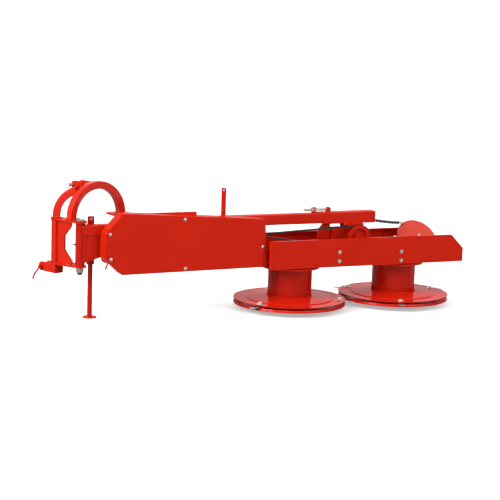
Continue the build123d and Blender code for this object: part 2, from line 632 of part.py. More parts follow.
# The right web runs slantwise from the bow's leg to the column
web_start = (bow_right + half_tube, BOW_Y + half_tube - 14)
web_end = (right_x - half_tube, COLUMN_Y - half_tube + 14)
web_run = math.hypot(web_end[0] - web_start[0], web_end[1] - web_start[1])
web_ahead = ((web_end[0] - web_start[0]) / web_run, (web_end[1] - web_start[1]) / web_run)
web_plane = Plane((*web_start, 0), x_dir=(*web_ahead, 0), z_dir=(web_ahead[1], -web_ahead[0], 0))
right_web_outline = [
    (0, HEAD_BOTTOM_Z), (web_run, HEAD_BOTTOM_Z), (web_run, HEAD_TOP_Z), (0, HEAD_TOP_Z),
    (0, HEAD_TOP_Z - 50), (30, HEAD_TOP_Z - 90), (30, HEAD_BOTTOM_Z + 90), (0, HEAD_BOTTOM_Z + 50),
]
right_web = extrude(web_plane * area(right_web_outline), 12)
bow_leg = Pos(bow_right, BOW_Y, 0) * Box(HEAD_TUBE, HEAD_TUBE, 3000)
column_core = Pos(right_x, COLUMN_Y, 0) * Box(HEAD_TUBE, HEAD_TUBE, 3000)
head_parts["head_webs"] = left_web + (right_web - bow_leg - column_core)


def bent_tube(path):
    """Square tube swept along a path of straight runs and arcs."""
    start = Plane(path @ 0, x_dir=(0, 1, 0), z_dir=path % 0)
    outer = start * RectangleRounded(HEAD_TUBE, HEAD_TUBE, HEAD_WALL * 1.5)
    inner = start * RectangleRounded(HEAD_TUBE - 2 * HEAD_WALL, HEAD_TUBE - 2 * HEAD_WALL, HEAD_WALL * 0.6)
    return sweep(outer, path=path) - sweep(inner, path=path)


left_foot_z = HEAD_TOP_Z + HEAD_PLATE
rear_path = Polyline((bow_left, BOW_Y, left_foot_z), (bow_left, BOW_Y, BOW_CENTRE_Z))
rear_path += ThreePointArc(
    (bow_left, BOW_Y, BOW_CENTRE_Z), (BOW_CENTRE_X, BOW_Y, BOW_CENTRE_Z + BOW_RADIUS),
    (bow_right, BOW_Y, BOW_CENTRE_Z),
)
rear_path += Polyline((bow_right, BOW_Y, BOW_CENTRE_Z), (bow_right, BOW_Y, HEAD_BOTTOM_Z))
head_parts["rear_bow"] = bent_tube(rear_path)

# Front bow: from the left column up and back to the rear bow's crown
front_top = (TOP_PIN_X - 35, BOW_Y + half_tube - 15)
run = math.hypot(front_top[0] - left_x, COLUMN_Y - front_top[1])
rise = BOW_CENTRE_Z + BOW_RADIUS - half_tube - left_foot_z
arc_start_z = left_foot_z + rise - run
heading = ((front_top[0] - left_x) / run, (front_top[1] - COLUMN_Y) / run)
half_turn = math.sqrt(0.5)
mid_out = run * (1 - half_turn)
arc_mid = (left_x + heading[0] * mid_out, COLUMN_Y + heading[1] * mid_out, arc_start_z + run * half_turn)
arc_end = (front_top[0], front_top[1], arc_start_z + run)
front_path = Polyline((left_x, COLUMN_Y, left_foot_z), (left_x, COLUMN_Y, arc_start_z))
front_path += ThreePointArc((left_x, COLUMN_Y, arc_start_z), arc_mid, arc_end)
front_plane = Plane(front_path @ 0, x_dir=(heading[1], -heading[0], 0), z_dir=(0, 0, 1))
front_outer = sweep(front_plane * RectangleRounded(HEAD_TUBE, HEAD_TUBE, HEAD_WALL * 1.5), path=front_path)
front_inner = sweep(
    front_plane * RectangleRounded(HEAD_TUBE - 2 * HEAD_WALL, HEAD_TUBE - 2 * HEAD_WALL, HEAD_WALL * 0.6),
    path=front_path,
)
front_bow = front_outer - front_inner

# Top link clevis on the bows' crown, with its pin
crown_z = BOW_CENTRE_Z + BOW_RADIUS
crown_y = BOW_Y + half_tube
clevis = None
for side in (-1, 1):
    centre = TOP_PIN_X + side * 30
    points = [
        (crown_y, crown_z - 24), (TOP_PIN_Y, TOP_PIN_Z - 26), (TOP_PIN_Y + 18, TOP_PIN_Z - 18),
        (TOP_PIN_Y + 26, TOP_PIN_Z), (TOP_PIN_Y + 18, TOP_PIN_Z + 18), (TOP_PIN_Y, TOP_PIN_Z + 26),
        (crown_y, crown_z + 24),
    ]
    plate = side_plate(points, centre - 5, centre + 5)
    plate -= Pos(centre, TOP_PIN_Y, TOP_PIN_Z) * Rot(0, 90, 0) * Cylinder(TOP_PIN_RADIUS + 0.3, 40)
    clevis = plate if clevis is None else clevis + plate
behind_rear_bow = block((left_x, right_x), (0, crown_y), (left_foot_z, crown_z + HEAD_TUBE))
past_clevis = block((TOP_PIN_X - 35, right_x), (0, COLUMN_Y), (left_foot_z, crown_z + HEAD_TUBE))
head_parts["front_bow"] = front_bow - behind_rear_bow - past_clevis
head_parts["top_link_clevis"] = clevis
top_pin_end = (TOP_PIN_X + 62, TOP_PIN_Y, TOP_PIN_Z)
top_pin = rod_between((TOP_PIN_X - 70, TOP_PIN_Y, TOP_PIN_Z), top_pin_end, TOP_PIN_RADIUS)
top_pin += rod_between((TOP_PIN_X + 52, TOP_PIN_Y, TOP_PIN_Z), top_pin_end, 15)
head_parts["top_link_pin"] = top_pin

# Lower hitch lugs and their pins, one each side
lugs = None
pins = None
for x, side in ((left_x, -1), (right_x, 1)):
    outer_x = x + side * half_tube
    inner_x = outer_x - side * LUG_WIDTH
    lug_top = HEAD_BOTTOM_Z - HEAD_PLATE
    lug_low = lug_top - LUG_HEIGHT
    round_r = LUG_HEIGHT / 2
    outline = make_face([
        Line((LUG_START_Y, lug_low), (LUG_END_Y - round_r, lug_low)),
        ThreePointArc(
            (LUG_END_Y - round_r, lug_low), (LUG_END_Y, lug_low + round_r), (LUG_END_Y - round_r, lug_top)
        ),
        Line((LUG_END_Y - round_r, lug_top), (LUG_START_Y, lug_top)),
        Line((LUG_START_Y, lug_top), (LUG_START_Y, lug_low)),
    ])
    x_low, x_high = min(outer_x, inner_x), max(outer_x, inner_x)
    lug = extrude(Plane.YZ.offset(x_low) * outline, x_high - x_low)
    slot = block((x_low + 8, x_high - 8), (LUG_START_Y + 60, LUG_END_Y + 5), (lug_low - 5, lug_top + 5))
    lug -= slot
    lug -= Pos(x, HITCH_PIN_Y, HITCH_PIN_Z) * Rot(0, 90, 0) * Cylinder(HITCH_PIN_RADIUS + 0.3, 300)
    lugs = lug if lugs is None else lugs + lug
    pin_start = (outer_x + side * 22, HITCH_PIN_Y, HITCH_PIN_Z)
    pin = rod_between(pin_start, (inner_x - side * 6, HITCH_PIN_Y, HITCH_PIN_Z), HITCH_PIN_RADIUS)
    handle_x = outer_x + side * 14
    handle_path = FilletPolyline(
        (handle_x, HITCH_PIN_Y, HITCH_PIN_Z), (handle_x, HITCH_PIN_Y + 58, HITCH_PIN_Z - 58),
        (handle_x, HITCH_PIN_Y + 74, HITCH_PIN_Z - 94), radius=24,
    )
    pin += sweep(Plane(handle_path @ 0, z_dir=handle_path % 0) * Circle(HANDLE_RADIUS), path=handle_path)
    pins = pin if pins is None else pins + pin
head_parts["hitch_lugs"] = lugs
head_parts["hitch_pins"] = pins

# Pivot bolt through both plates and the post, with a nut below
bolt_low_z = HEAD_BOTTOM_Z - HEAD_PLATE - PIVOT_NUT_HEIGHT
bolt = Pos(0, 0, (bolt_low_z + left_foot_z + 8) / 2) * Cylinder(PIVOT_RADIUS, left_foot_z + 8 - bolt_low_z)
bolt += Pos(0, 0, bolt_low_z - PIVOT_TIP_LENGTH / 2) * Cylinder(PIVOT_TIP_RADIUS, PIVOT_TIP_LENGTH + 1)
bolt += Pos(0, 0, left_foot_z + SEAT + 4) * Cylinder(PIVOT_RADIUS + 9, 8)
bolt += Pos(0, 0, HEAD_BOTTOM_Z - HEAD_PLATE - SEAT - PIVOT_NUT_HEIGHT) * hexagon_nut(
    PIVOT_RADIUS, PIVOT_NUT_ACROSS, PIVOT_NUT_HEIGHT
)
head_parts["pivot_bolt"] = bolt

for name, solid in head_parts.items():
    parts[name] = Pos(*post, 0) * Rot(0, 0, SWING) * solid

# Cutter frame: gear beam, side panels and their brackets
gear_end_x = drum_xs[1] + GEAR_BEAM_OVERHANG
gear_centre_z = (GEAR_BEAM_BOTTOM_Z + GEAR_BEAM_TOP_Z) / 2
gear_height = GEAR_BEAM_TOP_Z - GEAR_BEAM_BOTTOM_Z
gear_beam = tube_x(
    GEAR_BEAM_START_X, gear_end_x, DRUM_Y, gear_centre_z, GEAR_BEAM_WIDTH, gear_height, GEAR_BEAM_WALL
)
parts["gear_beam"] = gear_beam
gear_y = (DRUM_Y - GEAR_BEAM_WIDTH / 2, DRUM_Y + GEAR_BEAM_WIDTH / 2)
gear_z = (GEAR_BEAM_BOTTOM_Z, GEAR_BEAM_TOP_Z)
parts["gear_end_covers"] = (
    block((GEAR_BEAM_START_X - END_COVER, GEAR_BEAM_START_X), gear_y, gear_z)
    + block((gear_end_x, gear_end_x + END_COVER), gear_y, gear_z)
)
cap = turned([
    (0, GEAR_BEAM_TOP_Z), (CAP_RADIUS, GEAR_BEAM_TOP_Z), (CAP_RADIUS, GEAR_BEAM_TOP_Z + 12),
    (CAP_RADIUS - 9, GEAR_BEAM_TOP_Z + 19), (CAP_RADIUS - 9, CAP_TOP_Z), (0, CAP_TOP_Z),
])
parts["bearing_caps"] = Pos(drum_xs[0], DRUM_Y, 0) * cap + Pos(drum_xs[1], DRUM_Y, 0) * cap


def side_panel(face_y, inward):
    """Folded sheet with a cut-off outer corner and flanges turned towards the gear beam."""
    points = [
        (PANEL_START_X, PANEL_BOTTOM_Z), (PANEL_END_X, PANEL_BOTTOM_Z),
        (PANEL_END_X, PANEL_TOP_Z - PANEL_CHAMFER), (PANEL_END_X - PANEL_CHAMFER, PANEL_TOP_Z),
        (PANEL_START_X, PANEL_TOP_Z),
    ]
    back_y = face_y + inward * PANEL_FLANGE
    solid = upright_plate(points, min(face_y, back_y), max(face_y, back_y))
    inner = offset(area(points), -PANEL_SHEET, kind=Kind.INTERSECTION)
    start_y = face_y + inward * PANEL_SHEET
    end_y = back_y + inward
    cut = extrude(Plane.XZ.offset(-max(start_y, end_y)) * inner, abs(end_y - start_y))
    return solid - cut


parts["rear_panel"] = side_panel(DRUM_Y - PANEL_OFFSET, 1)
parts["front_panel"] = side_panel(DRUM_Y + PANEL_OFFSET, -1)
bracket_set = None
for x in BRACKET_XS:
    for side in (-1, 1):
        near = DRUM_Y + side * GEAR_BEAM_WIDTH / 2
        far = DRUM_Y + side * (PANEL_OFFSET - PANEL_SHEET)
        low, high = min(near, far), max(near, far)
        z_low, z_high = GEAR_BEAM_BOTTOM_Z + 4, GEAR_BEAM_TOP_Z - 28
        web = block((x - 4, x + 4), (low, high), (z_low, z_high))
        foot_y = (far - 8, far) if side > 0 else (far, far + 8)
        foot = block((x - BRACKET_WIDTH / 2, x + BRACKET_WIDTH / 2), foot_y, (z_low, z_high))
        bracket_set = web + foot if bracket_set is None else bracket_set + web + foot
parts["panel_brackets"] = bracket_set

# Gearbox on the gear beam, hung in the yoke by its two trunnions
gearbox_x = (DRIVEN_X - GEARBOX_LENGTH / 2, DRIVEN_X + GEARBOX_LENGTH / 2)
gearbox = block(gearbox_x, gearbox_y, (GEAR_BEAM_TOP_Z, GEARBOX_TOP_Z))
gearbox = fillet(gearbox.edges().filter_by(Axis.Y), 14)
side_y = (gearbox_y[0] + 4, gearbox_y[1] - 4)
side_block = block((GEARBOX_START_X, DRIVEN_X), side_y, (GEAR_BEAM_TOP_Z, GEARBOX_TOP_Z - GEARBOX_STEP))
base_x = (GEARBOX_START_X - 20, gearbox_x[1] + 22)
gearbox += side_block + block(base_x, gearbox_y, (GEAR_BEAM_TOP_Z, GEAR_BEAM_TOP_Z + GEARBOX_BASE))
trunnion_back_y = beam_y + YOKE_WIDTH / 2 + 2
trunnion = Pos(DRIVEN_X, (trunnion_front_y + trunnion_back_y) / 2, DRIVEN_Z) * Rot(90, 0, 0) * Cylinder(
    TRUNNION_RADIUS, trunnion_back_y - trunnion_front_y
)
gearbox += trunnion
gearbox -= Pos(DRIVEN_X, (trunnion_front_y + gearbox_y[0]) / 2 - 0.15, DRIVEN_Z) * Rot(90, 0, 0) * Cylinder(
    shaft_bore, gearbox_y[0] - trunnion_front_y + 0.3
)
parts["gearbox"] = gearbox

# Round plate leaning forward on the outer end of the gear beam
shield_z = GEAR_BEAM_TOP_Z + 16
lean = math.radians(SHIELD_LEAN)
shield_normal = (0, -math.cos(lean), math.sin(lean))
shield_plane = Plane((SHIELD_X, SHIELD_Y, shield_z), x_dir=(1, 0, 0), z_dir=shield_normal)
shield_face = Circle(SHIELD_RADIUS)
shield_face -= Pos(0, -SHIELD_RADIUS - 40) * Rectangle(4 * SHIELD_RADIUS, 2 * SHIELD_RADIUS)
shield = extrude(shield_plane * shield_face, SHIELD_THICKNESS)
above_beam = (GEAR_BEAM_TOP_Z, GEAR_BEAM_TOP_Z + 2 * SHIELD_RADIUS)
shield &= block((SHIELD_X - 200, SHIELD_X + 200), (-200, 200), above_beam)
rib_points = [(SHIELD_Y + 5, GEAR_BEAM_TOP_Z), (gear_y[1], GEAR_BEAM_TOP_Z)]
for y, _ in rib_points[::-1]:
    rib_points.append((y, shield_z + (y - SHIELD_Y) / math.tan(lean) + 1))
for x in (SHIELD_X - 70, SHIELD_X + 70):
    shield += side_plate(rib_points, x - 3, x + 3)
shield_foot_x = (SHIELD_X - SHIELD_FOOT_HALF, SHIELD_X + SHIELD_FOOT_HALF)
shield += block(shield_foot_x, SHIELD_FOOT_Y, (CAP_TOP_Z - SHIELD_THICKNESS, CAP_TOP_Z))
for x in (shield_foot_x[0], shield_foot_x[1] - SHIELD_THICKNESS):
    shield += block((x, x + SHIELD_THICKNESS), SHIELD_FOOT_Y, (GEAR_BEAM_TOP_Z, CAP_TOP_Z))
parts["round_shield"] = shield

# Drums with their discs and knives, over freely turning skids
disc_top = DISC_RIM_Z + DISC_THICKNESS
foot_z = disc_top + DISC_RISE
flange_top_z = DRUM_TOP_Z + DRUM_FLANGE_THICKNESS
step_radius = DISC_STEP * DISC_RADIUS
crown_radius = DRUM_RADIUS + 12
spindle_bore = SPINDLE_RADIUS + SHAFT_FIT
for index, name in enumerate(("inner", "outer")):
    place = Pos(drum_xs[index], DRUM_Y, 0)
    housing_z = (flange_top_z + 6, GEAR_BEAM_BOTTOM_Z - 12)
    housing = turned([
        (spindle_bore, housing_z[0]), (HOUSING_RADIUS, housing_z[0]), (HOUSING_RADIUS, housing_z[1]),
        (HOUSING_RADIUS + 48, housing_z[1]), (HOUSING_RADIUS + 48, GEAR_BEAM_BOTTOM_Z),
        (spindle_bore, GEAR_BEAM_BOTTOM_Z),
    ])
    parts[name + "_bearing_housing"] = place * housing

    drum = turned([
        (0, foot_z), (DRUM_RADIUS, foot_z), (DRUM_RADIUS, DRUM_TOP_Z), (DRUM_RADIUS - DRUM_WALL, DRUM_TOP_Z),
        (DRUM_RADIUS - DRUM_WALL, foot_z + 6), (0, foot_z + 6),
    ])
    seam_x = (DRUM_RADIUS - 2, DRUM_RADIUS + DRUM_SEAM_HEIGHT)
    seam = block(seam_x, (-DRUM_SEAM_WIDTH / 2, DRUM_SEAM_WIDTH / 2), (foot_z, DRUM_TOP_Z))
    for turn in range(DRUM_SEAMS):
        drum += Rot(0, 0, SEAM_PHASES[index] + turn * 360 / DRUM_SEAMS) * seam
    parts[name + "_drum"] = place * drum
    parts[name + "_drum_top"] = place * turned([
        (0, foot_z + 6), (SPINDLE_RADIUS, foot_z + 6), (SPINDLE_RADIUS, DRUM_TOP_Z),
        (DRUM_FLANGE_RADIUS, DRUM_TOP_Z), (DRUM_FLANGE_RADIUS, flange_top_z), (SPINDLE_RADIUS, flange_top_z),
        (SPINDLE_RADIUS, GEAR_BEAM_BOTTOM_Z - 2), (0, GEAR_BEAM_BOTTOM_Z - 2),
    ])

    disc = turned([
        (0, foot_z - 8), (crown_radius, foot_z - 8), (step_radius - 8, DISC_RIM_Z + DISC_STEP_HEIGHT),
        (step_radius, DISC_RIM_Z), (DISC_RADIUS, DISC_RIM_Z), (DISC_RADIUS, disc_top),
        (step_radius + 2, disc_top), (step_radius - 6, disc_top + DISC_STEP_HEIGHT),
        (crown_radius, foot_z), (0, foot_z),
    ])
    knives = None
    tip = knife_tip_radius
    for turn in range(KNIFE_COUNT):
        angle = KNIFE_PHASES[index] + turn * 360 / KNIFE_COUNT
        blade = flat_plate(
            [
                (knife_pivot_radius - KNIFE_HEEL, -KNIFE_WIDTH / 2), (tip - 14, -KNIFE_WIDTH / 2),
                (tip, -KNIFE_WIDTH / 4), (tip, KNIFE_WIDTH / 4), (tip - 14, KNIFE_WIDTH / 2),
                (knife_pivot_radius - KNIFE_HEEL, KNIFE_WIDTH / 2),
            ],
            KNIFE_Z, KNIFE_Z + KNIFE_THICKNESS,
        )
        bolt_length = disc_top + 8 - KNIFE_Z
        bolt_z = KNIFE_Z + bolt_length / 2
        bolt = Pos(knife_pivot_radius, 0, bolt_z) * Cylinder(KNIFE_BOLT_RADIUS, bolt_length)
        bolt_bore = Pos(knife_pivot_radius, 0, DISC_RIM_Z) * Cylinder(KNIFE_BOLT_RADIUS + SEAT, 60)
        disc -= Rot(0, 0, angle) * bolt_bore
        knife = Rot(0, 0, angle) * (blade + bolt)
        knives = knife if knives is None else knives + knife
    parts[name + "_disc"] = place * disc
    parts[name + "_knives"] = place * knives

    skid_low = SKID_RIM_Z - SKID_THICKNESS
    skid = turned([
        (0, 0), (SKID_FLAT_RADIUS, 0), (SKID_RADIUS - 40, skid_low - 8), (SKID_RADIUS, skid_low),
        (SKID_RADIUS, SKID_RIM_Z), (SKID_RADIUS - 40, SKID_RIM_Z - 6),
        (SKID_FLAT_RADIUS - 4, SKID_THICKNESS + 2), (SKID_HUB_RADIUS, SKID_THICKNESS + 2),
        (SKID_HUB_RADIUS, foot_z - 8 - SEAT), (0, foot_z - 8 - SEAT),
    ])
    parts[name + "_skid"] = place * skid

for name, solid in parts.items():
    export_step(solid, "parts/" + name + ".step")
print(len(parts), "nodes written")
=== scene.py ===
import json
import math

import bpy
import numpy as np
from mathutils import Matrix, Vector


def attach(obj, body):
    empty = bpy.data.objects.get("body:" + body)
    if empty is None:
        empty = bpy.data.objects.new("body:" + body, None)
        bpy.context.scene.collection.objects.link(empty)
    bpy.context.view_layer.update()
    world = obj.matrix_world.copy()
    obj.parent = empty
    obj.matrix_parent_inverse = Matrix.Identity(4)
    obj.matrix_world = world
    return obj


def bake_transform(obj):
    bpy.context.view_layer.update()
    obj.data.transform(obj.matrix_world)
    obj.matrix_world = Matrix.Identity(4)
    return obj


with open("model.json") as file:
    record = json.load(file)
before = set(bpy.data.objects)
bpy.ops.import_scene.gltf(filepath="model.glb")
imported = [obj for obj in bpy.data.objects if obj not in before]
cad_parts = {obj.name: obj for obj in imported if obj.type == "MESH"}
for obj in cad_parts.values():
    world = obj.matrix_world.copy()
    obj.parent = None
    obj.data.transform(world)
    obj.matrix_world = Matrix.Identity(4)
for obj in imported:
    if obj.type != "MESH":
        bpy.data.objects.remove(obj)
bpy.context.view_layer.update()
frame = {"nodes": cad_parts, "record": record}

# Rotary drum mower parked on its stand. Lengths are millimetres here, made metres when a mesh is written.
MM = 0.001
FULL_TURN = 2 * np.pi
FRONT, REAR, UP = (0, -1, 0), (0, 1, 0), (0, 0, 1)
INWARD, OUTWARD = (-1, 0, 0), (1, 0, 0)

# Places that the solids give
ARM_Y = -60.5
POST = (-91.0, ARM_Y)
SWING = math.radians(20)
LEFT_COLUMN_X, RIGHT_COLUMN_X = -36, 500
COLUMN_Y, BOW_Y = 200, 77
HEAD_BOTTOM_Z, HEAD_TOP_Z, HEAD_PLATE_TOP_Z = 357.5, 630.5, 644.5
COVER_FACE_Y = -195.5
SCREW_Z = 669.0
HINGE_X, HINGE_Z = 1863.0, 483.0
DRUM_X = {"inner": 1407.0, "outer": 2207.0}
DRUM_Y = -56.0
CAP_TOP_Z = 452
PANEL_OFFSET = 200
BRACKET_XS = (1676, 2150)
ROUND_PLATE_FOOT = (2378, -90)

# Camera, fitted to the photograph
CAMERA_PLACE = (-3563.4, -10245.2, 2233.9)
CAMERA_AZIMUTH = math.radians(24.6105)
CAMERA_DOWN = math.radians(9.2477)
CAMERA_ROLL = math.radians(1.8)
CAMERA_LENS = 122.4
CAMERA_SENSOR = 36.0
CAMERA_REACH = 100.0

# Materials
CLOUD_DETAIL = 4.0
CLOUD_LIMITS = (0.25, 0.75)
GRAIN_DETAIL = 3.0
GRAIN_HEIGHT = 0.0006
COAT_ROUGHNESS = 0.12
RED = ((0.500, 0.0120, 0.0024), (0.560, 0.0145, 0.0032))


def finish(name, colours, drift, roughness, metallic=0.0, specular=0.5, coat=0.0, grain=0.1,
           grain_size=400.0, stretch=(1.0, 1.0, 1.0)):
    """Surface finish: two colours and two roughnesses mixed by a soft noise of size drift, and a finer
    noise of size grain_size as bump. Stretch scales both along the object's axes."""
    material = bpy.data.materials.new(name)
    material.use_nodes = True
    nodes, links = material.node_tree.nodes, material.node_tree.links
    shader = nodes["Principled BSDF"]
    where = nodes.new("ShaderNodeTexCoord")
    mapping = nodes.new("ShaderNodeMapping")
    mapping.inputs["Scale"].default_value = stretch
    links.new(where.outputs["Object"], mapping.inputs["Vector"])
    cloud = nodes.new("ShaderNodeTexNoise")
    cloud.inputs["Scale"].default_value = drift
    cloud.inputs["Detail"].default_value = CLOUD_DETAIL
    links.new(mapping.outputs["Vector"], cloud.inputs["Vector"])
    ramp = nodes.new("ShaderNodeValToRGB")
    for element, position, colour in zip(ramp.color_ramp.elements, CLOUD_LIMITS, colours):
        element.position = position
        element.color = (*colour, 1)
    links.new(cloud.outputs["Fac"], ramp.inputs["Fac"])
    links.new(ramp.outputs["Color"], shader.inputs["Base Color"])
    rough = nodes.new("ShaderNodeMapRange")
    rough.inputs["To Min"].default_value = roughness[0]
    rough.inputs["To Max"].default_value = roughness[1]
    links.new(cloud.outputs["Fac"], rough.inputs["Value"])
    links.new(rough.outputs["Result"], shader.inputs["Roughness"])
    shader.inputs["Metallic"].default_value = metallic
    shader.inputs["Specular IOR Level"].default_value = specular
    shader.inputs["Coat Weight"].default_value = coat
    shader.inputs["Coat Roughness"].default_value = COAT_ROUGHNESS
    fine = nodes.new("ShaderNodeTexNoise")
    fine.inputs["Scale"].default_value = grain_size
    fine.inputs["Detail"].default_value = GRAIN_DETAIL
    links.new(mapping.outputs["Vector"], fine.inputs["Vector"])
    bump = nodes.new("ShaderNodeBump")
    bump.inputs["Strength"].default_value = grain
    bump.inputs["Distance"].default_value = GRAIN_HEIGHT
    links.new(fine.outputs["Fac"], bump.inputs["Height"])
    links.new(bump.outputs["Normal"], shader.inputs["Normal"])
    return material


def red_finish(name, drift, roughness, coat, grain, grain_size, colours=RED):
    """Red paint: all its shine comes from its coat, so the paint below has none of its own."""
    return finish(
        name, colours, drift, roughness, specular=0.0, coat=coat, grain=grain, grain_size=grain_size,
    )


red_paint = red_finish("red gloss paint", 5, (0.26, 0.38), coat=0.14, grain=0.10, grain_size=220)
red_plate = red_finish("red paint on rolled sheet", 3, (0.22, 0.32), coat=0.12, grain=0.06, grain_size=120)
red_cast = red_finish("red paint on castings", 14, (0.34, 0.5), coat=0.12, grain=0.5, grain_size=480)
red_weld = red_finish("red paint on weld beads", 30, (0.3, 0.5), coat=0.12, grain=0.4, grain_size=700)
disc_paint = red_finish(
    "red paint on pressed discs", 4, (0.18, 0.28), coat=0.17, grain=0.05, grain_size=90,
    colours=((0.50, 0.011, 0.003), (0.54, 0.013, 0.004)),
)
# Round plate paint: its paler, pinker red is a painted reflection of the white surroundings, not the paint's
# own colour.
shield_paint_with_painted_reflection = red_finish(
    "red paint on the round plate, paled as painted reflection", 4, (0.18, 0.28), coat=0.3, grain=0.05, grain_size=90,
    colours=((0.52, 0.052, 0.032), (0.56, 0.058, 0.036)),
)
# Bow paint: lighter than the other red, a painted light for the brighter light that the high bows catch.
bow_paint_with_painted_light = red_finish(
    "red paint on bent tube, lightened as painted light", 6, (0.24, 0.34), coat=0.35, grain=0.10, grain_size=220,
    colours=((0.56, 0.014, 0.004), (0.62, 0.018, 0.006)),
)
# Drum paint, also on the stand leg and pivot post: darker than the other red, a painted shade for the shade
# that these low parts lie in.
drum_paint_with_painted_shade = red_finish(
    "red paint darkened as painted shade", 4, (0.2, 0.3), coat=0.16, grain=0.06, grain_size=110,
    colours=((0.37, 0.0080, 0.0024), (0.43, 0.0095, 0.0030)),
)
zinc = finish(
    "zinc plated steel", ((0.26, 0.26, 0.25), (0.40, 0.40, 0.38)), 40, (0.32, 0.48),
    metallic=1.0, grain=0.15, grain_size=900,
)
bright_zinc = finish(
    "bright zinc on the knife bolts", ((0.50, 0.50, 0.48), (0.68, 0.68, 0.66)), 40, (0.3, 0.45),
    metallic=1.0, grain=0.15, grain_size=900,
)
dull_zinc = finish(
    "dull zinc on the pivot nut", ((0.15, 0.145, 0.13), (0.24, 0.23, 0.21)), 30, (0.45, 0.62),
    metallic=1.0, grain=0.25, grain_size=700,
)
turned_steel = finish(
    "turned bright steel", ((0.46, 0.45, 0.43), (0.62, 0.61, 0.59)), 18, (0.22, 0.36),
    metallic=1.0, grain=0.2, grain_size=700, stretch=(1, 1, 6),
)
knife_steel = finish(
    "forged knife steel", ((0.20, 0.19, 0.175), (0.36, 0.345, 0.32)), 30, (0.4, 0.6),
    metallic=1.0, grain=0.4, grain_size=500,
)
rubber = finish(
    "black belt rubber", ((0.008, 0.008, 0.008), (0.018, 0.018, 0.017)), 25, (0.6, 0.8),
    specular=0.2, grain=0.5, grain_size=600,
)
chain_steel = finish(
    "oiled black chain", ((0.008, 0.008, 0.008), (0.03, 0.028, 0.026)), 60, (0.45, 0.65),
    metallic=0.2, specular=0.3, grain=0.3, grain_size=900,
)

# Each solid has the finish of its material slot, apart from those named here
finish_of_slot = {
    "red_paint": red_paint, "bare_steel": zinc, "knife_steel": knife_steel, "belt_rubber": rubber,
}
finish_of_node = {}
for look, names in (
    (red_plate, ("belt_cover", "main_plate", "rear_panel", "front_panel")),
    (disc_paint, ("inner_disc", "outer_disc", "inner_skid", "outer_skid")),
    # the round plate takes the red paled as painted reflection
    (shield_paint_with_painted_reflection, ("round_shield",)),
    # the bows take the red lightened as painted light
    (bow_paint_with_painted_light, ("front_bow", "rear_bow")),
    # drums, stand leg and pivot post take the red darkened as painted shade
    (drum_paint_with_painted_shade, ("inner_drum", "outer_drum", "stand_leg", "pivot_post")),
    (red_cast, ("gearbox", "inner_bearing_housing", "outer_bearing_housing", "drive_housing")),
    (red_cast, ("drive_pulley", "driven_pulley", "idler_pulley", "driven_shaft")),
    (red_paint, ("hitch_pins",)),
    (turned_steel, ("pto_shaft",)),
    (dull_zinc, ("pivot_bolt",)),
):
    finish_of_node.update(dict.fromkeys(names, look))
for part in frame["record"]["subparts"]:
    look = finish_of_node.get(part["node"], finish_of_slot[part["material_slot"]])
    solid = frame["nodes"][part["node"]].data
    solid.materials.clear()
    solid.materials.append(look)

# Surfaces
SHARP_EDGE = math.radians(38)


def make_piece(name, shapes, look, body):
    """One piece that rides on a body, from a list of (points, faces) in millimetres: each shape's faces
    count on from the points of the shapes before it."""
    points, faces, start = [], [], 0
    for places, blocks in shapes:
        points.append(places.reshape(-1, 3))
        for block in blocks:
            faces += (block + start).tolist()
        start += len(points[-1])
    mesh = bpy.data.meshes.new(name)
    mesh.from_pydata((np.concatenate(points) * MM).tolist(), [], faces)
    mesh.validate()
    mesh.materials.append(look)
    mesh.shade_smooth()
    mesh.set_sharp_from_angle(angle=SHARP_EDGE)
    piece = bpy.data.objects.new(name, mesh)
    bpy.context.scene.collection.objects.link(piece)
    if body:
        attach(piece, body)
    return piece


def grid_faces(rows, columns, wrap_rows=False, wrap_columns=False, caps=False):
    """Four-sided faces between neighbouring points of a grid, closed round either way, with end caps."""
    r = np.arange(rows if wrap_rows else rows - 1)
    c = np.arange(columns if wrap_columns else columns - 1)
    a, b = np.meshgrid(r, c, indexing="ij")
    up, on = (a + 1) % rows, (b + 1) % columns
    corners = (a * columns + b, a * columns + on, up * columns + on, up * columns + b)
    blocks = [np.stack(corners, -1).reshape(-1, 4)]
    if caps:
        blocks.append(np.arange(columns)[None, ::-1])
        blocks.append(np.arange((rows - 1) * columns, rows * columns)[None])
    return blocks


def axes_of(direction):
    """Two unit vectors square to a direction, and the direction itself at unit length."""
    d = np.asarray(direction, float) / np.linalg.norm(direction)
    side = np.cross(d, (0, 0, 1)) if abs(d[2]) < 0.9 else np.cross(d, (0, 1, 0))
    side /= np.linalg.norm(side)
    return side, np.cross(d, side), d


def turned_shape(place, direction, profile, sides=24, hexagon=False):
    """Profile of (radius, height) turned about a direction. With hexagon, each point's radius is divided
    by the cosine of its angle from the middle of its flat, which turns the circle into six flats."""
    side, up, d = axes_of(direction)
    angle = np.linspace(0, FULL_TURN, sides, endpoint=False)
    flat = np.cos((angle + np.pi / 6) % (np.pi / 3) - np.pi / 6) if hexagon else np.ones_like(angle)
    radius, height = np.asarray(profile, float).T
    r = radius[:, None] / flat
    points = (
        np.asarray(place, float)
        + (r * np.cos(angle))[..., None] * side
        + (r * np.sin(angle))[..., None] * up
        + height[:, None, None] * d
    )
    return points, grid_faces(len(profile), sides, wrap_columns=True, caps=True)


def bolt_head(place, direction, across, height, washer=0.0):
    """Hexagon head with a chamfered top, over a washer where its diameter is given."""
    shapes, lift, half = [], 0.0, across / 2
    if washer:
        rim, lift = washer / 2, 1.8
        rounded = [(rim, 0), (rim, lift - 0.4), (rim - 0.5, lift), (half, lift)]
        shapes.append(turned_shape(place, direction, rounded))
    top = lift + height
    profile = [(half, lift), (half, lift + height * 0.85), (half * 0.9, top), (half * 0.3, top)]
    shapes.append(turned_shape(place, direction, profile, hexagon=True))
    return shapes


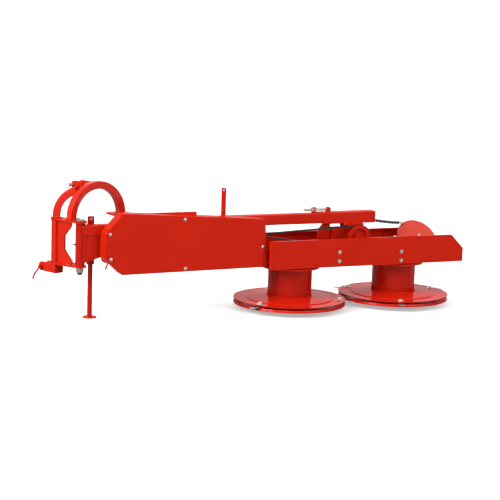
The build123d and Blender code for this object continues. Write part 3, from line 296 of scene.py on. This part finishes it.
def domed_head(place, direction, radius, height):
    """Cap of a sphere on a short rim: radius falls as the cosine and height grows as the sine."""
    turn = np.linspace(0, np.pi / 2 * 0.97, 9)
    profile = [(radius, 0.0)] + [(radius * math.cos(t), 1 + height * math.sin(t)) for t in turn]
    return [turned_shape(place, direction, profile)]


def bolt_circle(radius, count, first):
    """Offsets of places spaced evenly on a circle, the first at a turn of so many degrees."""
    turn = np.radians(first + np.arange(count) * 360 / count)
    return radius * np.stack([np.cos(turn), np.sin(turn)], 1)


def tube_along(path, radius, sides=10, closed=False):
    """Round tube along a path: a circle set square to the path's direction at each point.
    The radius is one number or one for each point."""
    path = np.asarray(path, float)
    ahead = np.roll(path, -1, 0) - np.roll(path, 1, 0)
    if not closed:
        ahead[0], ahead[-1] = path[1] - path[0], path[-1] - path[-2]
    ahead /= np.linalg.norm(ahead, axis=1)[:, None]
    side = np.cross(ahead, (0.13, 0.21, 0.97))
    side /= np.linalg.norm(side, axis=1)[:, None]
    up = np.cross(ahead, side)
    angle = np.linspace(0, FULL_TURN, sides, endpoint=False)[:, None]
    r = np.broadcast_to(np.asarray(radius, float), (len(path),))[:, None, None]
    points = path[:, None] + r * (np.cos(angle) * side[:, None] + np.sin(angle) * up[:, None])
    return points, grid_faces(len(path), sides, wrap_rows=closed, wrap_columns=True, caps=not closed)


def distance_along(path):
    """How far along a path of straight runs each of its points lies."""
    return np.concatenate([[0], np.cumsum(np.linalg.norm(np.diff(path, axis=0), axis=1))])


def places_on(path, distances):
    """Points of a path of straight runs at given distances along it."""
    along = distance_along(path)
    return np.stack([np.interp(distances, along, path[:, i]) for i in range(3)], -1)


def weld_bead(path, radius=3.5):
    """Weld bead along straight runs: a tube whose radius swells once every pitch, as laid ripples do,
    and shrinks over its last few millimetres."""
    pitch, swell, taper, end_share = 3.2, 0.16, 4, 0.35
    path = np.asarray(path, float)
    length = distance_along(path)[-1]
    steps = np.linspace(0, length, max(6, int(length / pitch * 3)))
    ripple = 1 + swell * np.cos(FULL_TURN * steps / pitch)
    ends = np.minimum(1, np.minimum(steps, length - steps) / taper + end_share)
    return tube_along(places_on(path, steps), radius * ripple * ends, sides=8)


def wire_ring(place, direction, radius, wire):
    """Ring: a circle of wire carried round a bigger circle."""
    side, up, _ = axes_of(direction)
    angle = np.linspace(0, FULL_TURN, 40, endpoint=False)[:, None]
    path = np.asarray(place, float) + radius * (np.cos(angle) * side + np.sin(angle) * up)
    return tube_along(path, wire, sides=8, closed=True)


def hanging_path(start, end, sag, steps):
    """Path between two points that hangs below the straight line by half a wave of a sine."""
    run = np.linspace(0, 1, steps)
    path = np.asarray(start) + np.subtract(end, start) * run[:, None]
    path[:, 2] -= sag * np.sin(np.pi * run)
    return path


def chain_links(path, link_length, wire, width):
    """Chain: stadium-shaped links along a path, each turned a quarter from the last. A link is a circle
    whose halves are moved apart by its straight part. It points the way the path runs from a little
    before its middle to a little after."""
    pitch = link_length - 2 * wire
    middles = (np.arange(int(distance_along(path)[-1] / pitch)) + 0.5) * pitch
    reach = 3
    ahead = places_on(path, middles + reach) - places_on(path, middles - reach)
    turn = np.linspace(0, FULL_TURN, 20, endpoint=False)[:, None]
    straight = link_length / 2 - wire - width / 2
    x = np.cos(turn) * width / 2 + np.sign(np.cos(turn)) * straight
    y = np.sin(turn) * width / 2
    shapes = []
    for link, centre in enumerate(places_on(path, middles)):
        side, up, d = axes_of(ahead[link])
        across = side if link % 2 else up
        shapes.append(tube_along(centre + x * d + y * across, wire, sides=6, closed=True))
    return shapes


def threaded_rod(middle, axis, span, steps, sides, radius, depth, pitch):
    """Threaded rod along one of the main axes: the radius dips in a V once every pitch, and the dip
    climbs by one pitch with each full turn."""
    along = np.linspace(*span, steps)[:, None]
    turn = np.linspace(0, FULL_TURN, sides, endpoint=False)
    r = radius - depth * np.abs(((along / pitch - turn / FULL_TURN) % 1) * 2 - 1)
    points = np.empty((steps, sides, 3))
    points[..., axis] = along
    points[..., (axis + 1) % 3] = middle[0] + r * np.cos(turn)
    points[..., (axis + 2) % 3] = middle[1] + r * np.sin(turn)
    return points, grid_faces(steps, sides, wrap_columns=True, caps=True)


def head(x, y, z):
    """Place in the headstock's own square axes, turned by its swing about the pivot post."""
    c, s = math.cos(SWING), math.sin(SWING)
    return (POST[0] + x * c - y * s, POST[1] + x * s + y * c, z)


# Belt cover and side panels


def cover_bolts():
    """Domed heads round the belt cover's front."""
    heads = []
    for x, z in ((64, 571), (72, 410), (574, 652), (584, 330), (1134, 452)):
        heads += domed_head((x, COVER_FACE_Y, z), FRONT, radius=11, height=5)
    make_piece("cover_bolts", heads, zinc, "arm")


def panel_bolts():
    """Two bolts, one over the other, through each panel into each bracket."""
    heads = []
    for x, two_z in zip(BRACKET_XS, ((404, 342), (390, 328))):
        for z in two_z:
            heads += bolt_head((x, DRUM_Y - PANEL_OFFSET, z), FRONT, across=17, height=7, washer=26)
            heads += bolt_head((x, DRUM_Y + PANEL_OFFSET, z), REAR, across=17, height=7, washer=26)
    make_piece("panel_bolts", heads, zinc, "cutter")


# Discs, drums and skids


def knife_bolts(name, first):
    """Three knife bolts on a disc, at the knives' own turns: a hexagon over a wide domed washer.
    First is the first bolt's turn in degrees."""
    disc_top_z, washer_height = 73.2, 4
    heads = []
    for dx, dy in bolt_circle(radius=342, count=3, first=first):
        x, y = DRUM_X[name] + dx, DRUM_Y + dy
        heads += domed_head((x, y, disc_top_z), UP, radius=22, height=3.5)
        heads += bolt_head((x, y, disc_top_z + washer_height), UP, across=27, height=8)
    make_piece(name + "_knife_bolts", heads, bright_zinc, name + "_rotor")


def drum_flange_bolts(name, first):
    """Six bolts on a drum's top flange, the first at a turn of so many degrees."""
    flange_top_z = 296
    heads = []
    for dx, dy in bolt_circle(radius=128, count=6, first=first):
        place = (DRUM_X[name] + dx, DRUM_Y + dy, flange_top_z)
        heads += bolt_head(place, UP, across=17, height=4, washer=24)
    make_piece(name + "_flange_bolts", heads, zinc, name + "_rotor")


def drum_foot_weld(name):
    """Weld once round a drum's foot, where it meets the disc."""
    drum_radius, foot_z = 150, 90
    turn = np.linspace(0, FULL_TURN, 60)
    foot = np.stack([
        DRUM_X[name] + drum_radius * np.cos(turn), DRUM_Y + drum_radius * np.sin(turn), np.full(60, foot_z),
    ], 1)
    make_piece(name + "_drum_weld", [weld_bead(foot, radius=4)], red_weld, name + "_rotor")


def skid_collar(name):
    """Collar leaning inwards round a skid's rim: a closed profile of (radius, height) turned once round."""
    radius, height = np.array([(375.0, 39.5), (368.5, 53.2), (371.5, 54.0), (379.6, 40.5)]).T
    turn = np.linspace(0, FULL_TURN, 120, endpoint=False)[:, None]
    points = np.stack([
        DRUM_X[name] + radius * np.cos(turn), DRUM_Y + radius * np.sin(turn),
        np.broadcast_to(height, (len(turn), len(height))),
    ], -1)
    faces = grid_faces(len(turn), len(height), wrap_rows=True, wrap_columns=True)
    make_piece(name + "_skid_collar", [(points, faces)], disc_paint, name + "_glide")


# Gear beam


def beam_nuts():
    """A nut on each bearing cap, and one with its thread on the round plate's foot."""
    nuts = []
    for x in DRUM_X.values():
        nuts += bolt_head((x, DRUM_Y, CAP_TOP_Z), UP, across=24, height=12, washer=36)
    nuts += bolt_head((*ROUND_PLATE_FOOT, CAP_TOP_Z), UP, across=28, height=17, washer=44)
    thread_end = [(8, 0), (8, 7), (6.5, 9)]
    nuts.append(turned_shape((*ROUND_PLATE_FOOT, CAP_TOP_Z + 18), UP, thread_end, sides=16))
    make_piece("beam_nuts", nuts, zinc, "cutter")


def end_cover_screws():
    """Four screws in each end cover of the gear beam."""
    screws = []
    for x, way in ((1194, INWARD), (2543, OUTWARD)):
        for y in (-104, -8):
            for z in (346, 408):
                screws += bolt_head((x, y, z), way, across=13, height=5, washer=19)
    make_piece("end_cover_screws", screws, zinc, "cutter")


# Pivot, hitch and stand


def grease_nipple():
    """Grease nipple on the pivot post: a turned foot, a waist and a rounded tip."""
    profile = [(6, 0), (6, 6), (4, 7), (4, 13), (5, 15), (3, 18)]
    nipple = turned_shape((-121.5, ARM_Y, 494), INWARD, profile, sides=12)
    make_piece("grease_nipple", [nipple], chain_steel, "arm")


def sleeve_bolt():
    """Clamping bolt on the stand's sleeve."""
    make_piece("sleeve_bolt", bolt_head((-8, -24, 363), FRONT, across=13, height=8), chain_steel, "arm")


def pivot_thread():
    """Threaded end of the pivot bolt under its nut, with a split pin through it."""
    thread = threaded_rod(POST, 2, (296.5, 312.5), steps=160, sides=24, radius=15.2, depth=0.6, pitch=2.5)
    split_pin = tube_along([head(-24, 4, 305), head(24, -4, 305)], 2.2, sides=8)
    make_piece("pivot_thread", [thread, split_pin], chain_steel, "headstock")


def linchpin():
    """Linchpin through the top link pin's end: a short pin with a ring hanging from it."""
    x, y, _ = head(55, 190, 851)
    loop = wire_ring((x - 4, y + 2, 848), (0.35, -0.93, 0), radius=16, wire=2.4)
    pin = tube_along([head(61, 190, 864), head(61, 190, 834)], 3.2)
    make_piece("linchpin", [loop, pin], dull_zinc, "headstock")


def latch():
    """Bolt of the latch on the headstock's top plate, and the small chain from it to the plate's edge."""
    bolt = bolt_head(head(15, 41, HEAD_PLATE_TOP_Z - 0.5), UP, across=24, height=10, washer=30)
    make_piece("latch_bolt", bolt, zinc, "headstock")
    path = hanging_path(head(15, 41, 656), head(32, -26, 650), sag=8, steps=24)
    make_piece("latch_chain", chain_links(path, link_length=14, wire=1.6, width=8), zinc, "headstock")


# Drive


def drive_screws():
    """Four screws on the shaft housing's flange, and the nut on the idler's pin."""
    housing_x, housing_y, housing_z = 200, -81.5, 407
    screws = []
    for dx, dz in bolt_circle(radius=53, count=4, first=45):
        place = (housing_x + dx, housing_y, housing_z + dz)
        screws += bolt_head(place, REAR, across=15, height=6, washer=20)
    screws += bolt_head((1132, -176, 477), FRONT, across=17, height=7, washer=24)
    make_piece("drive_screws", screws, zinc, "arm")


def belt_backs():
    """Backs of the two belts round the driven pulley: a shallow strip on an arc, whose height grows
    evenly from nothing at both ends."""
    pulley_radius, height, edge, taper = 84.2, 5.0, 0.3, 0.45
    turn = np.radians(np.linspace(-82, 91, 60))
    proud = height * np.minimum(1, np.minimum(turn - turn[0], turn[-1] - turn) / taper)
    radius = pulley_radius + np.stack([0 * proud, proud + edge, proud + edge, 0 * proud], 1)
    strips = []
    for front, back in ((-173.6, -154.3), (-149.7, -137.3)):
        points = np.stack([
            HINGE_X + radius * np.cos(turn)[:, None],
            np.broadcast_to([front, front + 0.6, back - 1.2, back], radius.shape),
            HINGE_Z + radius * np.sin(turn)[:, None],
        ], -1)
        strips.append((points, grid_faces(*radius.shape, wrap_columns=True, caps=True)))
    make_piece("belt_backs", strips, rubber, "arm")


def screw_thread():
    """Thread of the belt tension screw."""
    middle, span = (ARM_Y, SCREW_Z), (1492, 1656)
    rod = threaded_rod(middle, 0, span, steps=1400, sides=16, radius=9.0, depth=0.7, pitch=3.0)
    make_piece("screw_thread", [rod], zinc, "arm")


# Weld beads


def headstock_welds():
    """Beads round the columns and the bows' feet, then along the webs, the lugs and the clevis."""
    half = 25.5
    square = ((-1, -1), (1, -1), (1, 1), (-1, 1), (-1, -1))
    beads = []
    for x, y, z in (
        (LEFT_COLUMN_X, COLUMN_Y, HEAD_BOTTOM_Z), (LEFT_COLUMN_X, COLUMN_Y, HEAD_TOP_Z),
        (RIGHT_COLUMN_X, COLUMN_Y, HEAD_BOTTOM_Z), (RIGHT_COLUMN_X, COLUMN_Y, HEAD_TOP_Z),
        (-12, BOW_Y, HEAD_PLATE_TOP_Z), (396, BOW_Y, HEAD_PLATE_TOP_Z),
        (396, BOW_Y, HEAD_BOTTOM_Z), (LEFT_COLUMN_X, COLUMN_Y, HEAD_PLATE_TOP_Z),
    ):
        beads.append(weld_bead([head(x + i * half, y + j * half, z) for i, j in square]))
    for x, y in ((-48.5, 176), (-35.5, 174.5)):
        beads.append(weld_bead([head(x, y, 360), head(x, y, 628)]))
    for x in (-48.5, -35.5):
        beads.append(weld_bead([head(x, 30, HEAD_BOTTOM_Z), head(x, 174, HEAD_BOTTOM_Z)]))
    for x in (-61, 4, 460, 525):
        beads.append(weld_bead([head(x, 177, 343.5), head(x, 224, 343.5)]))
    for x in (90, 100, 150, 160):
        beads.append(weld_bead([head(x, 102.5, 832), head(x, 102.5, 876)]))
    make_piece("headstock_welds", beads, red_weld, "headstock")


def arm_welds():
    """Beads half round the pivot post, down it and under the arm tube along the gusset, beside the
    stand's sleeve, at the screw's two stands on the beams, and along the outer beam over the hinge."""
    thin = 3
    turn = np.radians(np.linspace(-68, 68, 24))
    post_arc = np.stack([POST[0] + 32 * np.cos(turn), POST[1] + 32 * np.sin(turn), np.full(24, 618.5)], 1)
    beads = [
        weld_bead(post_arc),
        weld_bead([(-72, -90.5, 380), (-72, -90.5, 546)]),
        weld_bead([(-68, -90.5, 547.5), (28, -90.5, 547.5)]),
    ]
    for x in (-9, 9):
        beads.append(weld_bead([(x, -24.6, 549), (x, -24.6, 609)], thin))
    for x in (1562, 1572):
        beads.append(weld_bead([(x, -80, 647.5), (x, -41, 647.5)], thin))
    for x in (1664, 1684):
        beads.append(weld_bead([(x, -73, 652.5), (x, -48, 652.5)], thin))
    for y in (-100, -21):
        beads.append(weld_bead([(1783, y, 571.5), (1921, y, 571.5)]))
    make_piece("arm_welds", beads, red_weld, "arm")


def cutter_welds():
    """Beads up both edges of each panel bracket, and one along the round plate's foot."""
    beads = []
    for x in BRACKET_XS:
        for y in (DRUM_Y - 65.5, DRUM_Y + 65.5):
            for edge in (x - 4, x + 4):
                beads.append(weld_bead([(edge, y, 336), (edge, y, 394)], radius=3))
    beads.append(weld_bead([(2244, -47, 425), (2532, -47, 425)]))
    make_piece("cutter_welds", beads, red_weld, "cutter")


# Chain


def holding_chain():
    """Chain out of the beam's open end to a ring over the round plate's rim. It crosses the float hinge, and
    rides on no body: its points are set once, in place."""
    plate_centre, plate_rim = np.array((2388.0, -47, 443)), np.array((2304.0, 31, 537))
    plate_normal = (0, -0.755, 0.656)
    outward = (plate_rim - plate_centre) / np.linalg.norm(plate_rim - plate_centre)
    loop = wire_ring(plate_rim - outward * 2, np.cross(outward, plate_normal), radius=10, wire=3)
    make_piece("chain_ring", [loop], chain_steel, "cutter")
    start, end = np.array((2012.0, -60, 586)), plate_rim + outward * 7
    links = chain_links(hanging_path(start, end, sag=4, steps=60), link_length=24, wire=5.2, width=17)
    piece = make_piece("holding_chain", links, chain_steel, None)
    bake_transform(piece)


cover_bolts()
panel_bolts()
knife_bolts("inner", first=-30)
knife_bolts("outer", first=10)
for drum, first_turn in (("inner", -115), ("outer", -150)):
    drum_flange_bolts(drum, first=first_turn)
    drum_foot_weld(drum)
skid_collar("inner")
skid_collar("outer")
beam_nuts()
end_cover_screws()
grease_nipple()
sleeve_bolt()
pivot_thread()
linchpin()
latch()
drive_screws()
belt_backs()
headstock_welds()
arm_welds()
cutter_welds()
screw_thread()
holding_chain()

# Camera, light and floor
NEAR_LAMP_PLACE, NEAR_LAMP_AIM = Vector((-0.5, -2.3, 2.4)), Vector((0.0, 0.0, 0.7))
NEAR_LAMP_SIZE, NEAR_LAMP_POWER = 1.4, 9
WORLD_LIGHT, WORLD_SEEN = 0.36, 1.0
FLOOR_REACH, FLOOR_DROP = 60, 0.0005
FLOOR_UNSEEN, FLOOR_SEEN, FLOOR_LIFT = 0.35, 0.9, 0.4
WHITE = (1, 1, 1, 1)


def photo_camera():
    """Camera at the photograph's place: it looks along its azimuth and down, and its own right and top
    are rolled about that line."""
    data = bpy.data.cameras.new("camera")
    data.lens = CAMERA_LENS
    data.sensor_width = CAMERA_SENSOR
    data.clip_end = CAMERA_REACH
    camera = bpy.data.objects.new("camera", data)
    bpy.context.scene.collection.objects.link(camera)
    ahead = Vector((
        math.sin(CAMERA_AZIMUTH) * math.cos(CAMERA_DOWN),
        math.cos(CAMERA_AZIMUTH) * math.cos(CAMERA_DOWN),
        -math.sin(CAMERA_DOWN),
    ))
    level = Vector((math.cos(CAMERA_AZIMUTH), -math.sin(CAMERA_AZIMUTH), 0))
    upward = level.cross(ahead)
    right = level * math.cos(CAMERA_ROLL) + upward * math.sin(CAMERA_ROLL)
    top = -level * math.sin(CAMERA_ROLL) + upward * math.cos(CAMERA_ROLL)
    turned = Matrix((right, top, -ahead)).transposed().to_4x4()
    camera.matrix_world = Matrix.Translation(Vector(CAMERA_PLACE) * MM) @ turned
    bpy.context.scene.camera = camera


def hang_lamp(name, kind, place, travel, strength):
    """Lamp at a place, shining along a direction."""
    data = bpy.data.lights.new(name, kind)
    data.energy = strength
    lamp = bpy.data.objects.new(name, data)
    lamp.location = place
    lamp.rotation_euler = travel.to_track_quat("-Z", "Y").to_euler()
    bpy.context.scene.collection.objects.link(lamp)
    return data


def sun_lamp(name, travel, strength, spread):
    """Sun lamp shining along a direction, with a soft edge of spread degrees."""
    sun = hang_lamp(name, "SUN", Vector(travel) * -6, Vector(travel), strength)
    sun.angle = math.radians(spread)


def seen_rays(nodes, links):
    """One for camera, glossy and transmission rays, nought for the rest."""
    ray = nodes.new("ShaderNodeLightPath")
    total = ray.outputs["Is Camera Ray"]
    for kind in ("Is Glossy Ray", "Is Transmission Ray"):
        larger = nodes.new("ShaderNodeMath")
        larger.operation = "MAXIMUM"
        links.new(total, larger.inputs[0])
        links.new(ray.outputs[kind], larger.inputs[1])
        total = larger.outputs["Value"]
    return total


def pale_floor():
    """Flat floor that takes the object's shadow: darker for the light that it throws back, and pale and
    slightly lifted as it is seen."""
    mesh = bpy.data.meshes.new("floor")
    r, z = FLOOR_REACH, -FLOOR_DROP
    mesh.from_pydata([(-r, -r, z), (r, -r, z), (r, r, z), (-r, r, z)], [], [(0, 1, 2, 3)])
    floor = bpy.data.objects.new("floor", mesh)
    bpy.context.scene.collection.objects.link(floor)
    material = bpy.data.materials.new("pale floor")
    material.use_nodes = True
    nodes, links = material.node_tree.nodes, material.node_tree.links
    shader = nodes["Principled BSDF"]
    shader.inputs["Roughness"].default_value = 0.9
    shader.inputs["Specular IOR Level"].default_value = 0.0
    shader.inputs["Emission Color"].default_value = WHITE
    tone = nodes.new("ShaderNodeMix")
    tone.data_type = "RGBA"
    tone.inputs[6].default_value = (FLOOR_UNSEEN, FLOOR_UNSEEN, FLOOR_UNSEEN, 1)
    tone.inputs[7].default_value = (FLOOR_SEEN, FLOOR_SEEN, FLOOR_SEEN, 1)
    links.new(seen_rays(nodes, links), tone.inputs[0])
    links.new(tone.outputs[2], shader.inputs["Base Color"])
    ray = nodes.new("ShaderNodeLightPath")
    lift = nodes.new("ShaderNodeMath")
    lift.operation = "MULTIPLY"
    lift.inputs[1].default_value = FLOOR_LIFT
    links.new(ray.outputs["Is Camera Ray"], lift.inputs[0])
    links.new(lift.outputs["Value"], shader.inputs["Emission Strength"])
    mesh.materials.append(material)


def white_studio():
    """World that lights the object softly and is white where it is seen or mirrored."""
    world = bpy.data.worlds.new("studio")
    bpy.context.scene.world = world
    world.use_nodes = True
    nodes, links = world.node_tree.nodes, world.node_tree.links
    nodes.clear()
    out = nodes.new("ShaderNodeOutputWorld")
    mix = nodes.new("ShaderNodeMixShader")
    links.new(seen_rays(nodes, links), mix.inputs["Fac"])
    for socket, strength in ((1, WORLD_LIGHT), (2, WORLD_SEEN)):
        light = nodes.new("ShaderNodeBackground")
        light.inputs["Color"].default_value = WHITE
        light.inputs["Strength"].default_value = strength
        links.new(light.outputs["Background"], mix.inputs[socket])
    links.new(mix.outputs["Shader"], out.inputs["Surface"])


photo_camera()
sun_lamp("key lamp", (0.82, 0.14, -0.55), 4.0, 35)
sun_lamp("fill lamp", (-0.42, 0.78, -0.46), 1.5, 50)
sun_lamp("back lamp", (-0.45, -0.85, -0.30), 1.1, 60)
near_lamp = hang_lamp("near lamp", "AREA", NEAR_LAMP_PLACE, NEAR_LAMP_AIM - NEAR_LAMP_PLACE, NEAR_LAMP_POWER)
near_lamp.size = NEAR_LAMP_SIZE
pale_floor()
white_studio()
bpy.context.scene.view_settings.view_transform = "Standard"
